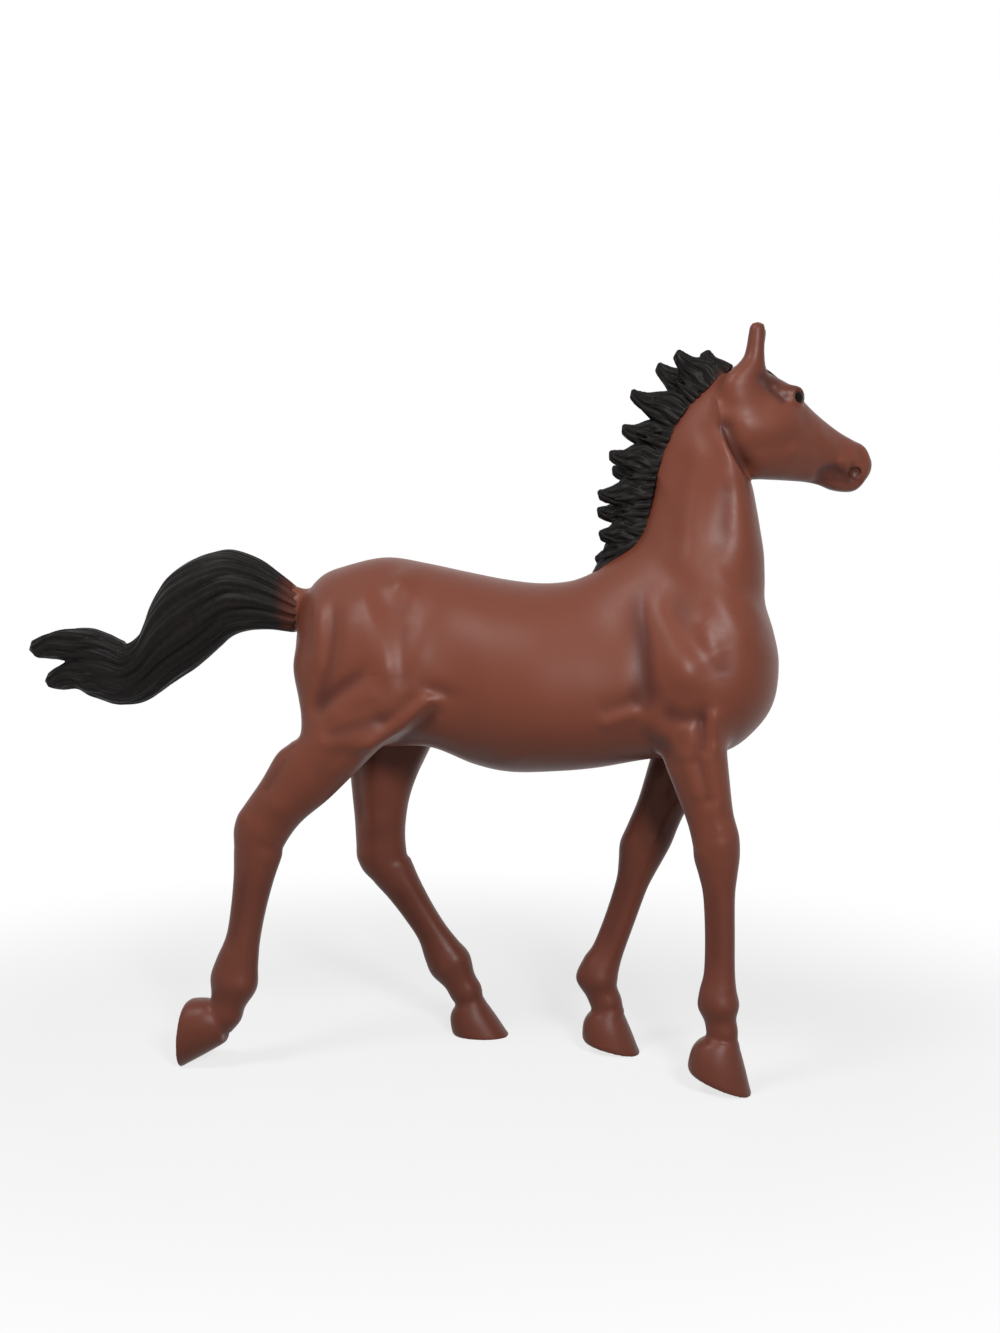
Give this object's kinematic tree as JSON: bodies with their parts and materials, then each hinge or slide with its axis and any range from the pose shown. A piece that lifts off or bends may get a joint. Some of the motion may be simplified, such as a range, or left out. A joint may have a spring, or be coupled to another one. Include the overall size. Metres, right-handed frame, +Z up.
{
  "type": "toy horse figure",
  "caption": "Moulded plastic horse figure in a walking stance, with its head turned to the left, a windblown mane and a carried tail.",
  "frame": {"origin": "middle of the figure's outline, on the ground under its hooves", "axes": "+X the way the horse walks, +Y to its left, +Z up"},
  "size_m": [0.2158, 0.0532, 0.1849],
  "materials": {
    "coat": "semi-gloss reddish brown",
    "hair": "satin black paint",
    "eye": "high-gloss black"
  },
  "bodies": {
    "root": {"body_shell_right": "coat", "body_shell_left": "coat", "head": "coat", "right_eye": "eye", "left_eye": "eye", "mane": "hair", "forelock": "hair", "tail": "hair", "right_foreleg": "coat", "left_foreleg": "coat", "right_hind_leg": "coat", "left_hind_leg": "coat"}
  },
  "joints": []
}
